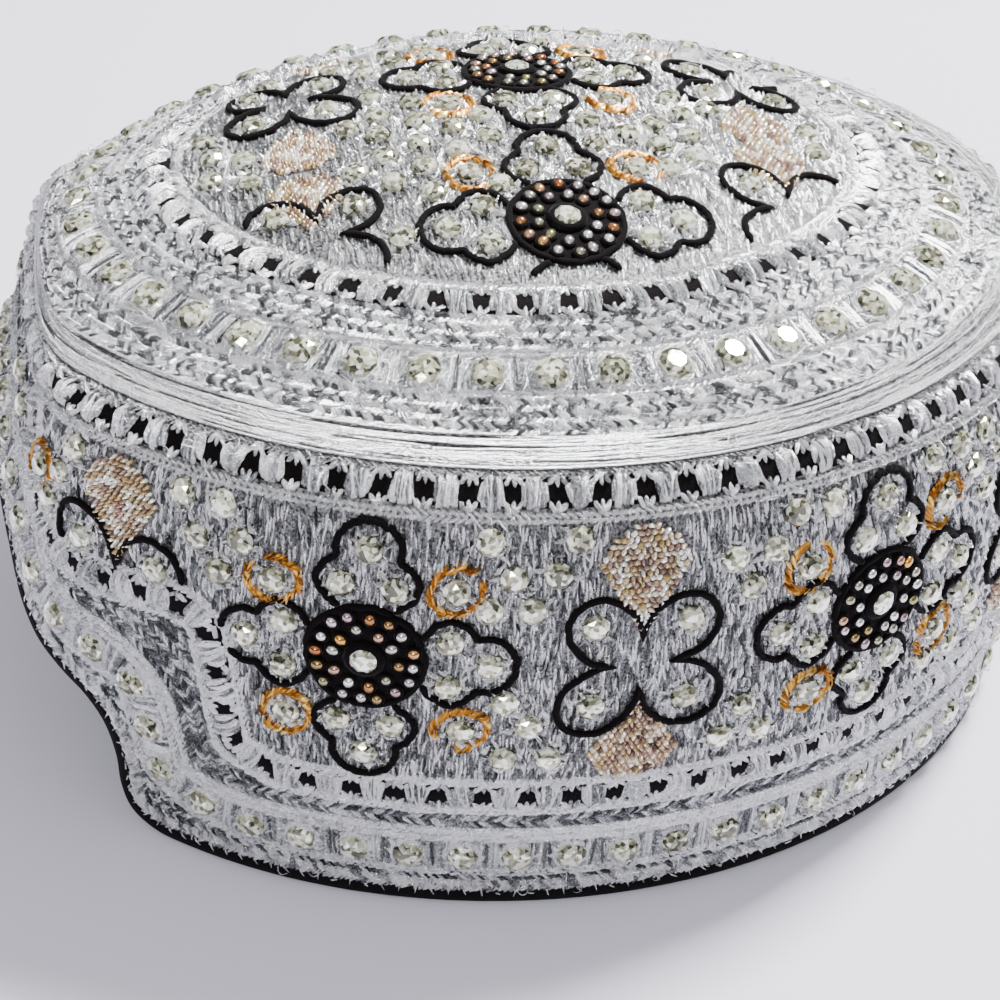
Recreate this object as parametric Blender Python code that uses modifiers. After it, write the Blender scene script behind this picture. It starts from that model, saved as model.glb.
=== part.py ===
"""Sindhi cap: an oval embroidered cap with a domed crown, an upright side band and an arched front.

Metres, +Z up. The cap stands on its rim at Z = 0 and its arched front faces -Y.
Places on the band are given by the distance round it from the front centre, towards +X, and the
height. Places on the crown are given by the turn round it and the half length of the oval there.
"""
import math

import bmesh
import bpy
import numpy as np
from mathutils import Matrix, Vector

# The oval: half length front to back, and how much shorter the half width is at every height
HALF_LENGTH = 0.1019
OVAL_DIFFERENCE = 0.0145

# The side band and the crown
BAND_HEIGHT = 0.0867
CLOTH = 0.0025
SEAM_GAP = 0.0003
PUFF_RING_HALF_LENGTH = 0.0635
SHOULDER_FALL = 0.0117
DOME_RISE = 0.0087
CROWN_OVERHANG = 0.0002
CROWN_TUCK = 0.0010

# How the soft cloth slumps, most at the seam: the front flattens and its right corner sinks
FRONT_FLAT = 0.0790
FRONT_SOFTNESS = 0.0065
CORNER_SINK = 0.0130
CORNER_TURN = -35.0
PLAN_SHIFT = -0.0047

# The arch over the forehead
ARCH_HALF_WIDTH = 0.0630
ARCH_HEIGHT = 0.0580

# The binding folded over the rim
BINDING_WEB = 0.0012
BINDING_LIP = 0.0032
BINDING_CLOTH = 0.0005

# The embroidered trims, which lie on the cloth with a small gap
TRIM_GAP = 0.0003
PUFF_BRAID_WIDTH = 0.0048
PUFF_BRAID_HEIGHT = 0.0009
TOP_BRAID_DROP = 0.0026
LOWER_BRAID_HEIGHT = 0.0266
CORNER_OUT = 0.0882
CORNER_HEIGHT = 0.0572
CRYSTAL_BRAID_WIDTH = 0.0070
CRYSTAL_BRAID_HEIGHT = 0.0007
CRYSTAL_RING_HALF_LENGTH = 0.0772
CRYSTAL_ROW_HEIGHT = 0.0119

# The cut crystals
CROWN_CRYSTAL_PITCH = 0.0100
RIM_CRYSTAL_PITCH = 0.0094
CRYSTAL_RADIUS = 0.0028
CRYSTAL_TABLE = 0.55
CRYSTAL_HEIGHT = 0.0017
CRYSTAL_SINK = 0.0004
CRYSTAL_SIDES = 8

# The flowers
CENTRE_RADIUS = 0.0097
CENTRE_HEIGHT = 0.0008
CENTRE_DOME = 0.0004
FLOWER_PITCH = 0.0440
FIRST_FLOWER = 0.1120
FLOWER_HEIGHT = 0.0552
CROWN_FLOWERS = {"near": (0.0322, 0.0025), "far": (-0.0178, 0.0025)}

# How finely the round forms are divided, and the steps that give their directions
FRONT_TURN = 55.0
FRONT_SEGMENTS = 18
BACK_SEGMENTS = 26
ARCH_STEPS = 2
FLAT_STEP = 0.0105
BAND_ROWS = (0.0, 0.33, 0.70, 0.89, 1.0)
DOME_ROWS = (0.0, 0.3, 0.6, 0.82, 1.0)
INNER_DOME_ROWS = (1.0, 0.6, 0.0)
BRAID_STEP = 0.0095
CENTRE_SEGMENTS = 12
CURVE_STEPS = 8
TABLE_TURNS = 2881
TURN_STEP = 0.01
REACH = 0.0006
WELD = 1e-6
SHARP_ANGLE = 35.0

# Band section: height as a share of BAND_HEIGHT, half length as a share of HALF_LENGTH
BAND_SECTION = [
    {"up": 0.00, "half": 0.9695},
    {"up": 0.14, "half": 0.9775},
    {"up": 0.31, "half": 0.9935},
    {"up": 0.52, "half": 1.0000},
    {"up": 0.75, "half": 0.9915},
    {"up": 0.91, "half": 0.9700},
    {"up": 0.97, "half": 0.9360},
    {"up": 1.00, "half": 0.9166},
]

# Crown section outside the puff ring: both columns are shares, from the ring to the crown's edge
SHOULDER_SECTION = [
    {"out": 0.00, "fall": 0.00},
    {"out": 0.23, "fall": 0.22},
    {"out": 0.46, "fall": 0.46},
    {"out": 0.81, "fall": 0.81},
    {"out": 1.00, "fall": 1.00},
]

# Rim over the forehead: across is a share of ARCH_HALF_WIDTH, up is a share of ARCH_HEIGHT
ARCH_OUTLINE = [
    {"across": 0.00, "up": 1.000},
    {"across": 0.20, "up": 0.975},
    {"across": 0.40, "up": 0.890},
    {"across": 0.54, "up": 0.775},
    {"across": 0.62, "up": 0.650},
    {"across": 0.71, "up": 0.555},
    {"across": 0.83, "up": 0.500},
    {"across": 0.92, "up": 0.465},
    {"across": 0.98, "up": 0.390},
    {"across": 1.00, "up": 0.270},
    {"across": 1.00, "up": 0.140},
    {"across": 1.04, "up": 0.045},
    {"across": 1.15, "up": 0.000},
    {"across": 1.30, "up": 0.000},
]

# Crystal row over the forehead, in the same shares
CRYSTAL_OUTLINE = [
    {"across": 0.00, "up": 1.185},
    {"across": 0.22, "up": 1.155},
    {"across": 0.46, "up": 1.060},
    {"across": 0.64, "up": 0.920},
    {"across": 0.76, "up": 0.770},
    {"across": 0.90, "up": 0.705},
    {"across": 1.04, "up": 0.680},
    {"across": 1.13, "up": 0.600},
    {"across": 1.16, "up": 0.440},
    {"across": 1.18, "up": 0.310},
    {"across": 1.28, "up": 0.240},
]

# Lower puff braid where it follows the arch: across is a share of CORNER_OUT, up of CORNER_HEIGHT
BRAID_OUTLINE = [
    {"across": 0.45, "up": 1.380},
    {"across": 0.46, "up": 1.250},
    {"across": 0.49, "up": 1.115},
    {"across": 0.55, "up": 1.025},
    {"across": 0.64, "up": 0.975},
    {"across": 0.78, "up": 0.985},
    {"across": 0.90, "up": 1.000},
    {"across": 0.96, "up": 0.955},
    {"across": 0.98, "up": 0.850},
    {"across": 1.00, "up": 0.640},
    {"across": 1.01, "up": 0.530},
]


def smooth_rows(rows, steps):
    """Catmull-Rom curve through the rows, with so many steps between two of them."""
    points = np.array(rows, float)
    first = 2 * points[0] - points[1]
    last = 2 * points[-1] - points[-2]
    padded = np.vstack([first, points, last])
    curve = []
    for index in range(1, len(padded) - 2):
        p0, p1, p2, p3 = padded[index - 1:index + 3]
        for share in np.arange(steps) / steps:
            bend = (2 * p0 - 5 * p1 + 4 * p2 - p3) * share ** 2
            twist = (3 * p1 - p0 - 3 * p2 + p3) * share ** 3
            curve.append((2 * p1 + (p2 - p0) * share + bend + twist) / 2)
    curve.append(points[-1])
    return np.array(curve)


BAND_CURVE = smooth_rows([(row["up"], row["half"]) for row in BAND_SECTION], CURVE_STEPS)
SHOULDER_CURVE = smooth_rows([(row["out"], row["fall"]) for row in SHOULDER_SECTION], CURVE_STEPS)


def wall_half_length(height):
    """Half length of the band's outer face at a height."""
    return HALF_LENGTH * np.interp(height / BAND_HEIGHT, BAND_CURVE[:, 0], BAND_CURVE[:, 1])


def turn_table():
    """Turns of the oval and the distance round its widest line up to each."""
    turns = np.linspace(0, 2 * math.pi, TABLE_TURNS)
    across = (HALF_LENGTH - OVAL_DIFFERENCE) * np.sin(turns)
    along = -HALF_LENGTH * np.cos(turns)
    lengths = np.hypot(np.diff(across), np.diff(along))
    return turns, np.concatenate([[0.0], np.cumsum(lengths)])


TURNS, DISTANCES = turn_table()
GIRTH = DISTANCES[-1]
CROWN_EDGE = wall_half_length(BAND_HEIGHT) + CROWN_OVERHANG
CROWN_EDGE_HEIGHT = BAND_HEIGHT + SEAM_GAP
PUFF_RING_HEIGHT = CROWN_EDGE_HEIGHT + SHOULDER_FALL


def slumped(place):
    """Where a place of the evenly built cap lies once the soft cloth has slumped."""
    weight = min(place.z / BAND_HEIGHT, 1.0) ** 2
    along = place.y
    if along < -FRONT_FLAT:
        over = -FRONT_FLAT - along
        flat = -FRONT_FLAT - FRONT_SOFTNESS * (1 - math.exp(-over / FRONT_SOFTNESS))
        along += (flat - along) * weight
    radial = min(math.hypot(place.x / (HALF_LENGTH - OVAL_DIFFERENCE), place.y / HALF_LENGTH), 1.0)
    toward = math.cos(math.atan2(place.x, -place.y) - math.radians(CORNER_TURN))
    sink = CORNER_SINK * weight * radial ** 4 * max(toward, 0.0) ** 3
    return Vector((place.x, along + PLAN_SHIFT, place.z - sink))


def outward(place, first, second, out, level=False):
    """Place on a surface moved out along its normal, which two pairs of places beside it give."""
    normal = (first[1] - first[0]).cross(second[1] - second[0])
    if level:
        normal.z = 0.0
    return place + out * normal.normalized()


def band_place(distance, height):
    """Place on the band's outer face."""
    turn = float(np.interp(distance % GIRTH, DISTANCES, TURNS))
    half = float(wall_half_length(height))
    width = half - OVAL_DIFFERENCE
    return slumped(Vector((width * math.sin(turn), -half * math.cos(turn), height)))


def on_band(distance, height, out=0.0, level=False):
    """Place on the band's outer face, moved out along its normal, or level."""
    along = [band_place(distance + side, height) for side in (-REACH, REACH)]
    up = [band_place(distance, height + side) for side in (-REACH, REACH)]
    return outward(band_place(distance, height), along, up, out, level)


def crown_section(half):
    """Half width and height of the crown's outer face where its half length is given."""
    ring_width = PUFF_RING_HALF_LENGTH - OVAL_DIFFERENCE
    if half <= PUFF_RING_HALF_LENGTH:
        share = half / PUFF_RING_HALF_LENGTH
        return share * ring_width, PUFF_RING_HEIGHT + DOME_RISE * (1 - share ** 2)
    out = (half - PUFF_RING_HALF_LENGTH) / (CROWN_EDGE - PUFF_RING_HALF_LENGTH)
    fall = np.interp(out, SHOULDER_CURVE[:, 0], SHOULDER_CURVE[:, 1])
    return half - OVAL_DIFFERENCE, PUFF_RING_HEIGHT - SHOULDER_FALL * float(fall)


def crown_place(turn, half, depth=0.0):
    """Place on the crown's outer face, or straight below it."""
    width, height = crown_section(half)
    return slumped(Vector((width * math.sin(turn), -half * math.cos(turn), height - depth)))


def on_crown(turn, half, out=0.0):
    """Place on the crown's outer face, moved out along its normal."""
    away = [crown_place(turn, half + side) for side in (-REACH, REACH)]
    round_it = [crown_place(turn + side, half) for side in (-TURN_STEP, TURN_STEP)]
    return outward(crown_place(turn, half), away, round_it, out)


def dome_place(across, along):
    """Place on the crown inside its puff ring, given in plan."""
    ring_width = PUFF_RING_HALF_LENGTH - OVAL_DIFFERENCE
    share = (across / ring_width) ** 2 + (along / PUFF_RING_HALF_LENGTH) ** 2
    return slumped(Vector((across, along, PUFF_RING_HEIGHT + DOME_RISE * (1 - share))))


def on_dome(across, along, out=0.0):
    """Place on the crown inside its puff ring, moved out along its normal."""
    first = [dome_place(across + side, along) for side in (-REACH, REACH)]
    second = [dome_place(across, along + side) for side in (-REACH, REACH)]
    return outward(dome_place(across, along), first, second, out)


def to_loop(half_path):
    """Closed path round the band, from the half that runs from the front centre to the back."""
    back = half_path[1:-1][::-1]
    other = np.column_stack([GIRTH - back[:, 0], back[:, 1]])
    return np.vstack([half_path, other])


def flat_run(start, height, step):
    """Level stretch of a half path, from past its last point to the back centre."""
    count = max(2, round((GIRTH / 2 - start) / step))
    distances = np.linspace(start, GIRTH / 2, count + 1)[1:]
    return np.column_stack([distances, np.full(count, height)])


def scaled(rows, across, up):
    """Rows of an outline in metres."""
    return [(row["across"] * across, row["up"] * up) for row in rows]


def rim_path():
    """The rim: the arch over the forehead, then level to the back."""
    arch = smooth_rows(scaled(ARCH_OUTLINE, ARCH_HALF_WIDTH, ARCH_HEIGHT), ARCH_STEPS)
    arch[:, 1] = np.maximum(arch[:, 1], 0.0)
    return to_loop(np.vstack([arch, flat_run(arch[-1, 0], 0.0, FLAT_STEP)]))


def crystal_path():
    """The crystal row: over the arch, down its side and then level along the rim."""
    arch = smooth_rows(scaled(CRYSTAL_OUTLINE, ARCH_HALF_WIDTH, ARCH_HEIGHT), CURVE_STEPS)
    level = flat_run(arch[-1, 0] + 2 * CRYSTAL_RADIUS, CRYSTAL_ROW_HEIGHT, BRAID_STEP)
    return to_loop(np.vstack([arch, level]))


def lower_braid_path():
    """The lower puff braid on one side, from under the top braid to the back centre."""
    arch = smooth_rows(scaled(BRAID_OUTLINE, CORNER_OUT, CORNER_HEIGHT), ARCH_STEPS)
    corner = arch[-1, 0] + PUFF_BRAID_WIDTH
    return np.vstack([arch, flat_run(corner, LOWER_BRAID_HEIGHT, BRAID_STEP)])


def side_directions(path, closed):
    """Unit directions across a path, to its left, on the band laid flat."""
    if closed:
        ahead, behind = np.roll(path, -1, axis=0), np.roll(path, 1, axis=0)
    else:
        ahead = np.vstack([path[1:], path[-1:]])
        behind = np.vstack([path[:1], path[:-1]])
    step = ahead - behind
    step[:, 0] = (step[:, 0] + GIRTH / 2) % GIRTH - GIRTH / 2
    return np.column_stack([-step[:, 1], step[:, 0]]) / np.hypot(*step.T)[:, None]


def resampled(path, count):
    """Evenly spaced places on a closed path."""
    ring = np.vstack([path, [path[0, 0] + GIRTH, path[0, 1]]])
    lengths = np.concatenate([[0.0], np.cumsum(np.hypot(*np.diff(ring, axis=0).T))])
    places = np.linspace(0, lengths[-1], count, endpoint=False)
    even = [np.interp(places, lengths, ring[:, column]) for column in (0, 1)]
    return np.column_stack(even)


def path_length(path):
    """Length of a closed path round the band."""
    ring = np.vstack([path, [path[0, 0] + GIRTH, path[0, 1]]])
    return float(np.hypot(*np.diff(ring, axis=0).T).sum())


def skin(name, grid, wrap_rows, wrap_columns, caps=False):
    """Mesh through a grid of points, welded where points meet, with its faces pointing out."""
    rows, columns = len(grid), len(grid[0])
    body = bmesh.new()
    verts = [[body.verts.new(point) for point in row] for row in grid]
    for row in range(rows if wrap_rows else rows - 1):
        for column in range(columns if wrap_columns else columns - 1):
            below, right = (row + 1) % rows, (column + 1) % columns
            body.faces.new((verts[row][column], verts[row][right],
                            verts[below][right], verts[below][column]))
    if caps:
        body.faces.new(verts[0])
        body.faces.new(verts[-1])
    bmesh.ops.remove_doubles(body, verts=body.verts, dist=WELD)
    bmesh.ops.recalc_face_normals(body, faces=body.faces)
    mesh = bpy.data.meshes.new(name)
    body.to_mesh(mesh)
    body.free()
    return mesh


def add_object(name, mesh, material, collection):
    """Object with its own material in a collection."""
    piece = bpy.data.objects.new(name, mesh)
    collection.objects.link(piece)
    mesh.materials.append(material)
    mesh.shade_smooth()
    mesh.set_sharp_from_angle(angle=math.radians(SHARP_ANGLE))
    return piece


def make_material(name, colour, roughness, metallic):
    """Principled material."""
    material = bpy.data.materials.new(name)
    material.use_nodes = True
    shader = material.node_tree.nodes["Principled BSDF"]
    shader.inputs["Base Color"].default_value = (*colour, 1.0)
    shader.inputs["Roughness"].default_value = roughness
    shader.inputs["Metallic"].default_value = metallic
    return material


def cut_crystal(body, place, along, normal):
    """One round crystal with a table and a facet on each side, sunk a little into its braid."""
    axis = normal.normalized()
    side = axis.cross(along).normalized()
    turned = Matrix((along.normalized(), side, axis)).transposed().to_4x4()
    centre = place + axis * (CRYSTAL_HEIGHT / 2 - CRYSTAL_SINK)
    bmesh.ops.create_cone(body, cap_ends=True, segments=CRYSTAL_SIDES, radius1=CRYSTAL_RADIUS,
                          radius2=CRYSTAL_RADIUS * CRYSTAL_TABLE, depth=CRYSTAL_HEIGHT,
                          matrix=Matrix.Translation(centre) @ turned)


def fuse(piece, body, name, cutters):
    """Join the solids in a bmesh to a piece."""
    mesh = bpy.data.meshes.new(name)
    body.to_mesh(mesh)
    body.free()
    guide = bpy.data.objects.new(name, mesh)
    cutters.objects.link(guide)
    guide.hide_render = True
    guide.display_type = "WIRE"
    union = piece.modifiers.new("crystals", "BOOLEAN")
    union.operation = "UNION"
    union.solver = "EXACT"
    union.object = guide


def braid_section(width, height):
    """Corners of a low braid: place across it and height over the cloth."""
    top = TRIM_GAP + height
    return [(-width / 2, TRIM_GAP), (-width / 2, top), (width / 2, top), (width / 2, TRIM_GAP)]


def band_strip(name, path, section, closed, level_below=0.0):
    """A section carried along a path on the band, and held level where the path runs so low."""
    sides = side_directions(path, closed)
    grid = []
    for (distance, height), (aside, up) in zip(path, sides):
        level = height < level_below
        grid.append([on_band(distance + across * aside, height + across * up, out, level)
                     for across, out in section])
    return skin(name, grid, closed, True, caps=not closed)


def crown_turns():
    """Turns that divide the crown, closer together at its front, which is less evenly round."""
    front = math.radians(FRONT_TURN)
    first = np.linspace(-front, front, FRONT_SEGMENTS, endpoint=False)
    rest = np.linspace(front, 2 * math.pi - front, BACK_SEGMENTS, endpoint=False)
    return np.concatenate([first, rest])


def crown_ring(name, half, section, turns):
    """A section carried round the crown."""
    grid = [[on_crown(turn, half + across, out) for across, out in section] for turn in turns]
    return skin(name, grid, True, True)


def make_crown(collection, material):
    """Domed crown, a shell of one cloth thickness that thins to its edge on top of the band."""
    dome = [PUFF_RING_HALF_LENGTH * share for share in DOME_ROWS]
    inner_dome = [PUFF_RING_HALF_LENGTH * share for share in INNER_DOME_ROWS]
    span = CROWN_EDGE - PUFF_RING_HALF_LENGTH
    shoulder = [PUFF_RING_HALF_LENGTH + span * row["out"] for row in SHOULDER_SECTION[1:]]
    inner = [*shoulder[:-2][::-1], *inner_dome]
    turns = crown_turns()
    grid = [[crown_place(turn, half) for turn in turns] for half in dome + shoulder]
    tuck = CROWN_EDGE - CLOTH - CROWN_TUCK
    rise = crown_section(tuck)[1] - CROWN_EDGE_HEIGHT
    grid.append([crown_place(turn, tuck, rise) for turn in turns])
    grid += [[crown_place(turn, half, CLOTH) for turn in turns] for half in inner]
    add_object("crown_top", skin("crown_top", grid, False, True), material, collection)


def seam_distances():
    """Places round the seam that go with the places of the rim path."""
    rim = rim_path()
    ring = np.vstack([rim, [GIRTH, rim[0, 1]]])
    lengths = np.concatenate([[0.0], np.cumsum(np.hypot(*np.diff(ring, axis=0).T))])
    return lengths[:-1] / lengths[-1] * GIRTH


def make_band(collection, material):
    """Side band: rows from the rim up to the seam, given a wall by Solidify."""
    rim = rim_path()
    lower = rim + side_directions(rim, True) * (BINDING_WEB + SEAM_GAP)
    upper = seam_distances()
    drift = (upper - lower[:, 0] + GIRTH / 2) % GIRTH - GIRTH / 2
    grid = []
    for share in BAND_ROWS:
        distances = lower[:, 0] + drift * share
        heights = lower[:, 1] + (BAND_HEIGHT - lower[:, 1]) * share
        grid.append([on_band(*place) for place in zip(distances, heights)])
    mesh = skin("side_band", grid, False, True)
    piece = add_object("side_band", mesh, material, collection)
    wall = piece.modifiers.new("wall", "SOLIDIFY")
    wall.thickness = CLOTH
    wall.offset = -1.0


def make_binding(collection, material):
    """Black binding folded over the rim, a channel that holds the edge of the cloth."""
    outside = SEAM_GAP + BINDING_CLOTH
    inside = -CLOTH - SEAM_GAP - BINDING_CLOTH
    channel = [
        (0.0, inside), (0.0, outside),
        (BINDING_LIP, outside), (BINDING_LIP, SEAM_GAP),
        (BINDING_WEB, SEAM_GAP), (BINDING_WEB, -CLOTH - SEAM_GAP),
        (BINDING_LIP, -CLOTH - SEAM_GAP), (BINDING_LIP, inside),
    ]
    mesh = band_strip("edge_binding", rim_path(), channel, True, level_below=BINDING_WEB)
    add_object("edge_binding", mesh, material, collection)


def make_puff_braids(collection, material):
    """The three raised braids of silver puffs: on the crown, under the seam and over the rim."""
    section = braid_section(PUFF_BRAID_WIDTH, PUFF_BRAID_HEIGHT)
    ring = crown_ring("crown_puff_braid", PUFF_RING_HALF_LENGTH, section, crown_turns())
    add_object("crown_puff_braid", ring, material, collection)
    height = BAND_HEIGHT - TOP_BRAID_DROP
    seam = seam_distances()
    top = np.column_stack([seam, np.full(len(seam), height)])
    mesh = band_strip("band_top_puff_braid", top, section, True)
    add_object("band_top_puff_braid", mesh, material, collection)
    half = lower_braid_path()
    other = np.column_stack([GIRTH - half[::-1, 0], half[::-1, 1]])
    path = np.vstack([half[:-1], other])
    mesh = band_strip("band_lower_puff_braid", path, section, False)
    add_object("band_lower_puff_braid", mesh, material, collection)


def make_crystal_trims(collection, cutters, material):
    """The crystal ring on the crown and the crystal row over the rim, each fused to its braid."""
    section = braid_section(CRYSTAL_BRAID_WIDTH, CRYSTAL_BRAID_HEIGHT)
    seat = TRIM_GAP + CRYSTAL_BRAID_HEIGHT
    mean_radius = CRYSTAL_RING_HALF_LENGTH - OVAL_DIFFERENCE / 2
    count = round(2 * math.pi * mean_radius / CROWN_CRYSTAL_PITCH)
    turns = np.arange(count) * 2 * math.pi / count
    mesh = crown_ring("crown_crystal_ring", CRYSTAL_RING_HALF_LENGTH, section, turns)
    ring = add_object("crown_crystal_ring", mesh, material, collection)
    body = bmesh.new()
    for turn in turns + math.pi / count:
        place = on_crown(turn, CRYSTAL_RING_HALF_LENGTH, seat)
        along = on_crown(turn + TURN_STEP, CRYSTAL_RING_HALF_LENGTH, seat) - place
        cut_crystal(body, place, along, place - on_crown(turn, CRYSTAL_RING_HALF_LENGTH))
    fuse(ring, body, "crown_crystals", cutters)

    path = crystal_path()
    count = round(path_length(path) / RIM_CRYSTAL_PITCH)
    path = resampled(path, 2 * count)
    mesh = band_strip("rim_crystal_row", path, section, True)
    row = add_object("rim_crystal_row", mesh, material, collection)
    body = bmesh.new()
    sides = side_directions(path, True)
    for (distance, height), (aside, up) in zip(path[1::2], sides[1::2]):
        place = on_band(distance, height, seat)
        along = on_band(distance + up * CRYSTAL_SINK, height - aside * CRYSTAL_SINK, seat) - place
        cut_crystal(body, place, along, place - on_band(distance, height))
    fuse(row, body, "rim_crystals", cutters)


def make_flower_centre(name, surface, across, along, collection, cutters, material):
    """Dark round flower centre laid on a surface, with a cut crystal in its middle."""
    top = TRIM_GAP + CENTRE_HEIGHT
    rings = [
        (0.0, TRIM_GAP), (CENTRE_RADIUS / 2, TRIM_GAP), (CENTRE_RADIUS, TRIM_GAP),
        (CENTRE_RADIUS, top), (CENTRE_RADIUS / 2, top + CENTRE_DOME), (0.0, top + CENTRE_DOME),
    ]
    turns = np.linspace(0, 2 * math.pi, CENTRE_SEGMENTS, endpoint=False)
    grid = []
    for radius, out in rings:
        grid.append([surface(across + radius * math.cos(turn), along + radius * math.sin(turn), out)
                     for turn in turns])
    piece = add_object(name, skin(name, grid, False, True), material, collection)
    place = surface(across, along, top + CENTRE_DOME)
    body = bmesh.new()
    sideways = surface(across + CRYSTAL_RADIUS, along, top + CENTRE_DOME) - place
    normal = place - surface(across, along)
    cut_crystal(body, place, sideways - sideways.project(normal), normal)
    fuse(piece, body, name + "_crystal", cutters)


def make_flower_centres(collection, cutters, material):
    """Flower centres on the crown and, on each side and at the back, on the band."""
    for label, (across, along) in CROWN_FLOWERS.items():
        make_flower_centre("flower_centre_crown_" + label, on_dome, across, along,
                           collection, cutters, material)
    second = FIRST_FLOWER + 2 * FLOWER_PITCH
    places = {
        "left_front": FIRST_FLOWER, "left_back": second, "back": GIRTH / 2,
        "right_back": GIRTH - second, "right_front": GIRTH - FIRST_FLOWER,
    }
    for label, distance in places.items():
        make_flower_centre("flower_centre_" + label, on_band, distance, FLOWER_HEIGHT,
                           collection, cutters, material)


def main():
    """Build the cap."""
    for old in list(bpy.data.objects):
        bpy.data.objects.remove(old, do_unlink=True)
    collection = bpy.data.collections.new("sindhi_cap")
    cutters = bpy.data.collections.new("joined_crystals")
    for group in (collection, cutters):
        bpy.context.scene.collection.children.link(group)
    make_crown(collection, make_material("crown_cloth", (0.62, 0.63, 0.66), 0.45, 0.6))
    make_band(collection, make_material("band_cloth", (0.48, 0.49, 0.52), 0.45, 0.6))
    make_binding(collection, make_material("black_binding", (0.012, 0.011, 0.012), 0.8, 0.0))
    make_puff_braids(collection, make_material("puff_braid", (0.55, 0.56, 0.58), 0.4, 0.6))
    make_crystal_trims(collection, cutters, make_material("crystal_braid", (0.7, 0.7, 0.62), 0.15, 0.1))
    make_flower_centres(collection, cutters, make_material("flower_centre", (0.03, 0.02, 0.02), 0.6, 0.0))


main()
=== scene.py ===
"""Sindhi cap, the detailed model: silver thread work, crystals, cords and braids on the cap's cloth.

Lengths are millimetres until a mesh is written. Every small thing is laid flat first, at its place
on the band (distance round it from the front centre, height) or on the crown (turn and half length
of the oval there, or the plan), and is then bent onto the surface and raised along its normal.
"""
import math

import bpy
import numpy as np
from mathutils import Matrix, Vector


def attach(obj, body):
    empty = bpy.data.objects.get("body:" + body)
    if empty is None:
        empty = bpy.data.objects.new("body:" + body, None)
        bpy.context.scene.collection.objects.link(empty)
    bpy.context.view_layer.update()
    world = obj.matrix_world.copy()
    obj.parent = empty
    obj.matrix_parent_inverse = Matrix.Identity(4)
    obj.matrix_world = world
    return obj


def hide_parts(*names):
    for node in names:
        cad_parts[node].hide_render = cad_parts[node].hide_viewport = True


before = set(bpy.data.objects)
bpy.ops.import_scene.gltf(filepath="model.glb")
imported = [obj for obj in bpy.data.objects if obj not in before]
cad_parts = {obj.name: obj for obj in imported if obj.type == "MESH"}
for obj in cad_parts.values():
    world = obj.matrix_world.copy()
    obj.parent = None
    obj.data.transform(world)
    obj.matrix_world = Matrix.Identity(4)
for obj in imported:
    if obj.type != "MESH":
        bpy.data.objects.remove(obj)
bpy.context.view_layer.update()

MM = 0.001
random = np.random.default_rng(11)
uniform, normal = random.uniform, random.normal
QUARTER = math.pi / 2

# The oval, the band and the crown
HALF_LENGTH = 101.9
OVAL_DIFFERENCE = 14.5
BAND_HEIGHT = 86.7
CLOTH = 2.5
PUFF_RING = 63.5
SHOULDER_FALL = 11.7
DOME_RISE = 8.7
SEAM_GAP = 0.3
BAND_SECTION = [(0.0, 0.9695), (0.14, 0.9775), (0.31, 0.9935), (0.52, 1.0), (0.75, 0.9915),
                (0.91, 0.97), (0.97, 0.936), (1.0, 0.9166)]

# How the soft cloth slumps: the front flattens and its right corner sinks
FRONT_FLAT = 79.0
FRONT_SOFTNESS = 6.5
CORNER_SINK = 13.0
CORNER_TURN = math.radians(-35)
PLAN_SHIFT = -4.7

# The arch over the forehead and the trims
ARCH_HALF_WIDTH = 63.0
ARCH_HEIGHT = 58.0
CORNER_OUT = 88.2
CORNER_HEIGHT = 57.2
LOWER_PUFFS = 26.6
TOP_PUFFS = 84.1
CRYSTAL_ROW = 11.9
CRYSTAL_RING = 77.2
CRYSTAL_RADIUS = 2.8
FIELD_CRYSTAL = 2.4
CRYSTAL_STRIP = 7.4
CROWN_CRYSTAL_PITCH = 10.0
RIM_CRYSTAL_PITCH = 9.4
BAR_PITCH = 0.85
PUFF_WIDTH = 4.8
TOP_PUFF_WIDTH = 3.7
CROWN_PUFF_PITCH = 7.0
TOP_PUFF_PITCH = 7.25
LOWER_PUFF_PITCH = 7.3
EDGE_THREADS = (88.0, 93.4, 0.3)
LAST_THREAD = 93.3
FIELD_LINE = 81.0
SEAM_LINE = 86.25

# The flowers
FLOWER_PITCH = 44.0
FIRST_FLOWER = 112.0
FLOWER_HEIGHT = 55.2
CENTRE_RADIUS = 9.7
CROWN_FLOWERS = {"near": (32.2, 2.5), "far": (-17.8, 2.5)}
CROWN_SMALL_FLOWERS = [(-14.8, -39.3), (30.1, -38.3), (-17.1, 42.7), (27.5, 42.9)]
CROWN_LOZENGES = [(3.8, -39.3, 1), (20.7, -39.2, -1), (0.3, 42.0, 1), (15.5, 42.1, -1)]
EDGE_LOZENGES = [(-33.5, -33.0, -1), (-35.5, 33.0, -1), (47.0, -31.0, 1), (46.0, 33.0, 1)]
FIELD_TOP = 80.2
FIELD_SIDE = 39.0
ARCH_SIDE = 36.0
CROWN_FIELD = 59.2

# The camera, from the fit to the photograph's rings and flowers
LENS = 84.33
CAMERA_TURN = math.radians(78.97)
CAMERA_PITCH = math.radians(35.823)
CAMERA_ROLL = math.radians(2.971)
CAMERA_AWAY = 371.55
CAMERA_HEIGHT = 292.2

# The floor and lights, in metres and watts, and the sky's colours by height
FLOOR_REACH = 12.0
LAMPS = {"key": (42.0, 0.22, (-0.25, 0.42, 0.95)), "fill": (6.0, 0.2, (0.9, -0.4, 0.6))}
SKY = [(0.0, "#26262a"), (0.25, "#5e5f63"), (0.6, "#cacbd2"), (1.0, "#ffffff")]
SKY_STRENGTH = 1.25

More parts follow.
